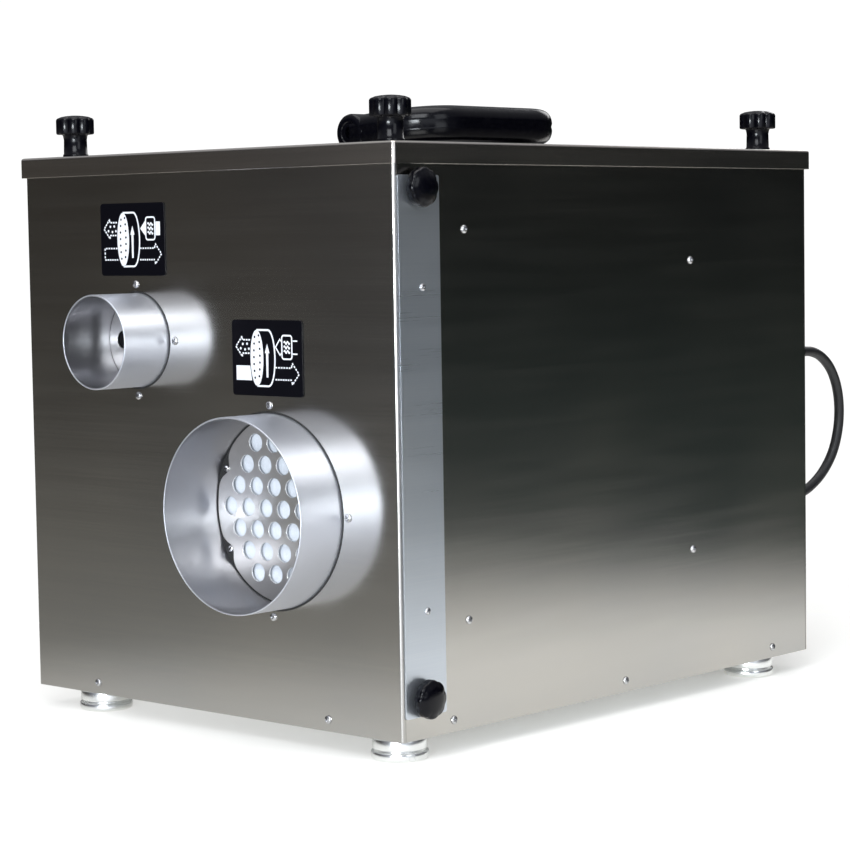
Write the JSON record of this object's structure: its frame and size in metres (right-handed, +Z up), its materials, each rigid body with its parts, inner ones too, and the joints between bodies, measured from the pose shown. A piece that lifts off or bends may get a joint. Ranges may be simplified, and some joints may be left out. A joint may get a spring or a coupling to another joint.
{
  "type": "portable desiccant dehumidifier",
  "caption": "Portable desiccant-rotor dehumidifier in a sheet-steel case: duct spigots front and rear, slide-out filter held by hand knobs, knob-held lid with folding handle.",
  "frame": {"origin": "middle of the part's outline seen from above, at floor level, the mains cord not counted", "axes": "+X towards the filter hatch's side, -Y towards the face with the air inlets, +Z up"},
  "size_m": [0.4562, 0.7902, 0.5211],
  "materials": {
    "panel_steel": "satin",
    "hatch_steel": "satin",
    "duct_steel": "satin",
    "galvanised_sheet": "satin",
    "polished_steel": "polished",
    "black_plastic": "glossy",
    "black_plate": "satin",
    "cord_rubber": "matte",
    "gasket_foam": "matte",
    "belt_rubber": "matte",
    "filter_fleece": "matte",
    "desiccant_honeycomb": "matte",
    "motor_paint": "satin",
    "heater_sheath": "satin"
  },
  "bodies": {
    "case": {"base_pan": "galvanised_sheet", "front_panel": "panel_steel", "rear_panel": "panel_steel", "left_panel": "panel_steel", "right_panel": "panel_steel", "filter_rail_lower": "galvanised_sheet", "filter_rail_upper": "galvanised_sheet", "process_inlet_spigot": "duct_steel", "regen_inlet_spigot": "duct_steel", "dry_air_outlet_spigot": "duct_steel", "wet_air_outlet_spigot": "duct_steel", "inlet_perforated_plate": "galvanised_sheet", "pictogram_plate_upper": "black_plate", "pictogram_plate_lower": "black_plate", "foot_front_left": "polished_steel", "foot_front_right": "polished_steel", "foot_rear_left": "polished_steel", "foot_rear_right": "polished_steel", "control_plate": "black_plate", "main_switch_housing": "black_plastic", "hour_meter": "black_plastic", "electrical_box": "galvanised_sheet", "rotor_cassette_front": "galvanised_sheet", "rotor_cassette_rear": "galvanised_sheet", "rotor_shaft": "polished_steel", "drive_belt": "belt_rubber", "gear_motor": "motor_paint", "heater_housing": "galvanised_sheet", "heater_element": "heater_sheath", "process_fan_housing": "galvanised_sheet", "process_fan_motor": "motor_paint", "regen_fan_housing": "galvanised_sheet", "regen_fan_motor": "motor_paint", "cord_gland": "black_plastic", "cord_tube": "cord_rubber", "cord_coil": "cord_rubber", "mains_plug": "cord_rubber"},
    "lid_cover": {"lid": "panel_steel", "lid_gasket": "gasket_foam", "handle_bracket_front": "black_plastic", "handle_bracket_rear": "black_plastic"},
    "handle": {"carry_handle": "black_plastic"},
    "knob_front_left": {"lid_knob_front_left": "black_plastic"},
    "knob_front_right": {"lid_knob_front_right": "black_plastic"},
    "knob_rear_left": {"lid_knob_rear_left": "black_plastic"},
    "knob_rear_right": {"lid_knob_rear_right": "black_plastic"},
    "filter_drawer": {"filter_hatch": "hatch_steel", "filter_frame": "galvanised_sheet", "filter_medium": "filter_fleece"},
    "knob_hatch_lower": {"hatch_knob_lower": "black_plastic"},
    "knob_hatch_upper": {"hatch_knob_upper": "black_plastic"},
    "rotor": {"rotor_hub": "galvanised_sheet", "rotor_medium": "desiccant_honeycomb", "rotor_rim": "galvanised_sheet"},
    "pulley": {"motor_pulley": "polished_steel"},
    "process_wheel": {"process_impeller": "galvanised_sheet"},
    "regen_wheel": {"regen_impeller": "galvanised_sheet"},
    "switch_rocker": {"main_switch_rocker": "black_plastic"},
    "dial": {"humidity_dial": "black_plastic"}
  },
  "joints": [
    {"name": "lid_lift", "type": "slide", "parent": "case", "child": "lid_cover", "axis": [0, 0, 1], "range_m": [0, 0.15]},
    {"name": "handle_fold", "type": "hinge", "parent": "lid_cover", "child": "handle", "pos_m": [-0.00565, 0, 0.4995], "axis": [0, -1, 0], "range_deg": [0, 90]},
    {"name": "lid_knob_front_left_turn", "type": "hinge", "parent": "lid_cover", "child": "knob_front_left", "pos_m": [-0.19365, -0.2485, 0.4823], "axis": [0, 0, 1], "range_deg": [0, 1440]},
    {"name": "lid_knob_front_right_turn", "type": "hinge", "parent": "lid_cover", "child": "knob_front_right", "pos_m": [0.18235, -0.2485, 0.4823], "axis": [0, 0, 1], "range_deg": [0, 1440]},
    {"name": "lid_knob_rear_left_turn", "type": "hinge", "parent": "lid_cover", "child": "knob_rear_left", "pos_m": [-0.19365, 0.2485, 0.4823], "axis": [0, 0, 1], "range_deg": [0, 1440]},
    {"name": "lid_knob_rear_right_turn", "type": "hinge", "parent": "lid_cover", "child": "knob_rear_right", "pos_m": [0.18235, 0.2485, 0.4823], "axis": [0, 0, 1], "range_deg": [0, 1440]},
    {"name": "filter_slide", "type": "slide", "parent": "case", "child": "filter_drawer", "axis": [1, 0, 0], "range_m": [0, 0.43]},
    {"name": "hatch_knob_lower_turn", "type": "hinge", "parent": "filter_drawer", "child": "knob_hatch_lower", "pos_m": [0.21535, -0.256, 0.05], "axis": [1, 0, 0], "range_deg": [0, 1080]},
    {"name": "hatch_knob_upper_turn", "type": "hinge", "parent": "filter_drawer", "child": "knob_hatch_upper", "pos_m": [0.21535, -0.256, 0.4464], "axis": [1, 0, 0], "range_deg": [0, 1080]},
    {"name": "rotor_spin", "type": "hinge", "parent": "case", "child": "rotor", "pos_m": [-0.00565, 0, 0.245], "axis": [0, 1, 0], "continuous": true},
    {"name": "pulley_spin", "type": "hinge", "parent": "case", "child": "pulley", "pos_m": [-0.19565, 0, 0.052], "axis": [0, 1, 0], "continuous": true},
    {"name": "process_fan_spin", "type": "hinge", "parent": "case", "child": "process_wheel", "pos_m": [0.07335, 0.165, 0.15], "axis": [1, 0, 0], "continuous": true},
    {"name": "regen_fan_spin", "type": "hinge", "parent": "case", "child": "regen_wheel", "pos_m": [-0.08465, 0.175, 0.35], "axis": [1, 0, 0], "continuous": true},
    {"name": "main_switch_rock", "type": "hinge", "parent": "case", "child": "switch_rocker", "pos_m": [0.09235, 0.2822, 0.411], "axis": [1, 0, 0], "range_deg": [0, 16]},
    {"name": "humidity_dial_turn", "type": "hinge", "parent": "case", "child": "dial", "pos_m": [0.16235, 0.282, 0.371], "axis": [0, 1, 0], "range_deg": [0, 270]}
  ],
  "couplings": [
    {"joint": "pulley_spin", "follows": "rotor_spin", "ratio": 13.208}
  ]
}
